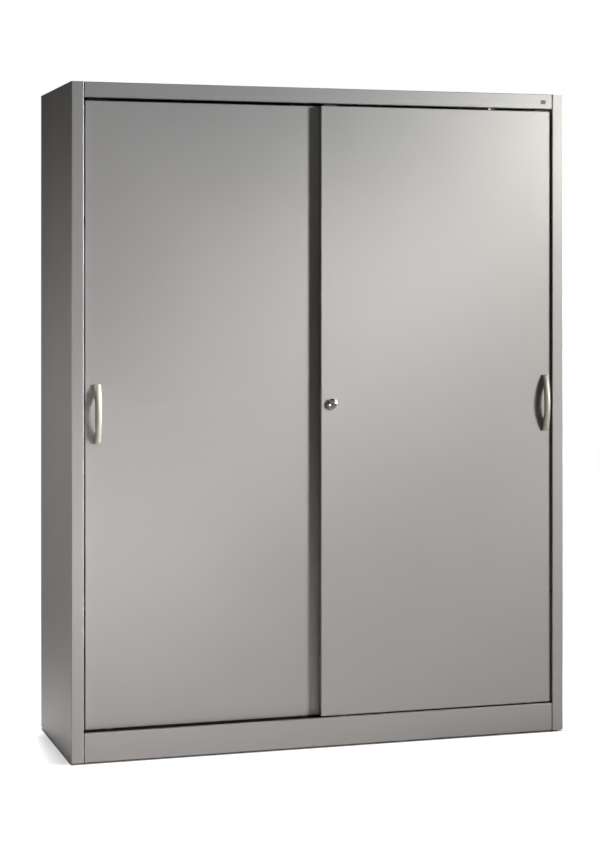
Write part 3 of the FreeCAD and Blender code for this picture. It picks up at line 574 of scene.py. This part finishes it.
def floor_material():
    """White floor that glows to the camera; its glow is left out under the cabinet and lowered beside
    the left panel, which paints a contact shade and a soft shadow.
    """
    s = Shader("floor_white")
    diffuse = s.node("ShaderNodeBsdfDiffuse")
    diffuse.inputs["Color"].default_value = (FLOOR_COLOUR, FLOOR_COLOUR, FLOOR_COLOUR, 1.0)
    # Painted contact shade: no glow inside the cabinet's footprint.
    gap = s.distance_to_box(FOOTPRINT_CENTRE, FOOTPRINT_HALF)
    outside = s.spread(gap, 0.0, 1.0, 0.0, FOOTPRINT_EDGE)
    # Painted soft shadow: the glow is lowered near the left panel's bottom edge.
    beside = s.distance_to_box(SHADE_CENTRE, SHADE_HALF)
    shade = s.spread(beside, SHADE_LEVEL, 1.0, 0.0, SHADE_WIDTH, smooth=True)
    along = s.node("ShaderNodeSeparateXYZ")
    s.link(s.coords, along.inputs[0])
    door_line = -FOOTPRINT_HALF[1]
    glows = (FRONT_GLOW_IN_GLOSS, REAR_GLOW_IN_GLOSS)
    in_gloss = s.spread(along.outputs["Y"], *glows, door_line, door_line + GLOW_CHANGE)
    level = s.math("MULTIPLY", seen_level(s, FLOOR_GLOW, in_gloss), outside)
    glow = s.node("ShaderNodeEmission")
    s.link(s.math("MULTIPLY", level, shade), glow.inputs["Strength"])
    both = s.node("ShaderNodeAddShader")
    s.link(diffuse.outputs[0], both.inputs[0])
    s.link(glow.outputs[0], both.inputs[1])
    s.link(both.outputs[0], s.output.inputs["Surface"])
    return s.material


def add_floor():
    half = FLOOR_HALF_SIDE
    corners = [(-half, -half, 0), (half, -half, 0), (half, half, 0), (-half, half, 0)]
    mesh = bpy.data.meshes.new("floor")
    mesh.from_pydata(corners, [], [(0, 1, 2, 3)])
    mesh.materials.append(floor_material())
    floor = bpy.data.objects.new("floor", mesh)
    bpy.context.scene.collection.objects.link(floor)


def add_world():
    """White behind the cabinet for the camera, dark for everything else."""
    world = bpy.data.worlds.new("studio")
    bpy.context.scene.world = world
    world.use_nodes = True
    tree = world.node_tree
    background = tree.nodes["Background"]
    background.inputs["Color"].default_value = (1, 1, 1, 1)
    path = tree.nodes.new("ShaderNodeLightPath")
    tree.links.new(path.outputs["Is Camera Ray"], background.inputs["Strength"])


def add_lamp(name, place, target, spread, power, colour=NEUTRAL, size=KEY_SIZE):
    """A square area light, aimed at a point and narrowed to the spread, in degrees."""
    data = bpy.data.lights.new(name, "AREA")
    data.shape = "SQUARE"
    data.size = size
    data.spread = math.radians(spread)
    data.energy = power
    data.color = colour
    lamp = bpy.data.objects.new(name, data)
    lamp.location = place
    lamp.rotation_euler = (Vector(target) - Vector(place)).to_track_quat("-Z", "Y").to_euler()
    lamp.visible_camera = False
    bpy.context.scene.collection.objects.link(lamp)


def add_lights():
    """A high and a low key from the front right, weak fills, and plain light on the other sides."""
    top_right = 0.7 * KEY_POWER
    top_left = 2 * KEY_POWER
    low_left = 0.3 * LOW_KEY_POWER
    high_fill = 0.8 * FRONT_FILL_POWER
    add_lamp("key_top_right", KEY_PLACE, RIGHT_TOP, WIDE, top_right, WARM)
    add_lamp("key_left_middle", KEY_PLACE, LEFT_MIDDLE, NARROW, KEY_POWER)
    add_lamp("key_top_left", KEY_PLACE, LEFT_TOP, WIDE, top_left, COOL)
    add_lamp("key_low", FAR_KEY_PLACE, LEFT_LOW, WIDE, LOW_KEY_POWER, size=FAR_KEY_SIZE)
    add_lamp("key_low_left", FAR_KEY_PLACE, LEFT_LOW, NARROW, low_left, size=FAR_KEY_SIZE)
    add_lamp("low_fill", LOW_FILL_PLACE, LEFT_LOW, HALF_NARROW, FRONT_FILL_POWER, size=FILL_SIZE)
    add_lamp("high_fill", HIGH_FILL_PLACE, LEFT_TOP, MIDDLING, high_fill, size=FILL_SIZE)
    add_lamp("side_fill", SIDE_FILL_PLACE, LEFT_SIDE, SIDE_SPREAD, SIDE_POWER, size=SIDE_FILL_SIZE)
    add_lamp("back_light", BACK_LIGHT_PLACE, BACK, BACK_SPREAD, REAR_POWER, size=BACK_LIGHT_SIZE)
    add_lamp("right_light", RIGHT_LIGHT_PLACE, RIGHT_SIDE, SIDE_SPREAD, 3 * SIDE_POWER, size=FILL_SIZE)
    add_lamp("top_light", TOP_LIGHT_PLACE, TOP, SIDE_SPREAD, 3 * KEY_POWER, size=TOP_LIGHT_SIZE)


def add_camera():
    data = bpy.data.cameras.new("camera")
    data.sensor_fit = "VERTICAL"
    data.sensor_height = SENSOR_HEIGHT
    data.lens = FOCAL_PIXELS * SENSOR_HEIGHT / IMAGE_HEIGHT
    data.shift_y = (HORIZON_ROW - IMAGE_HEIGHT / 2) / IMAGE_HEIGHT
    camera = bpy.data.objects.new("camera", data)
    camera.location = CAMERA_PLACE
    camera.rotation_euler = Euler((math.pi / 2, 0, -CAMERA_YAW))
    bpy.context.scene.collection.objects.link(camera)
    bpy.context.scene.camera = camera


dress_nodes()
bow_handle("front_door_handle", "front_door")
bow_handle("rear_door_handle", "rear_door")
dished_barrel()
blank_badge()
plinth_fold()
add_floor()
add_world()
add_lights()
add_camera()
bpy.context.scene.view_settings.view_transform = "Standard"
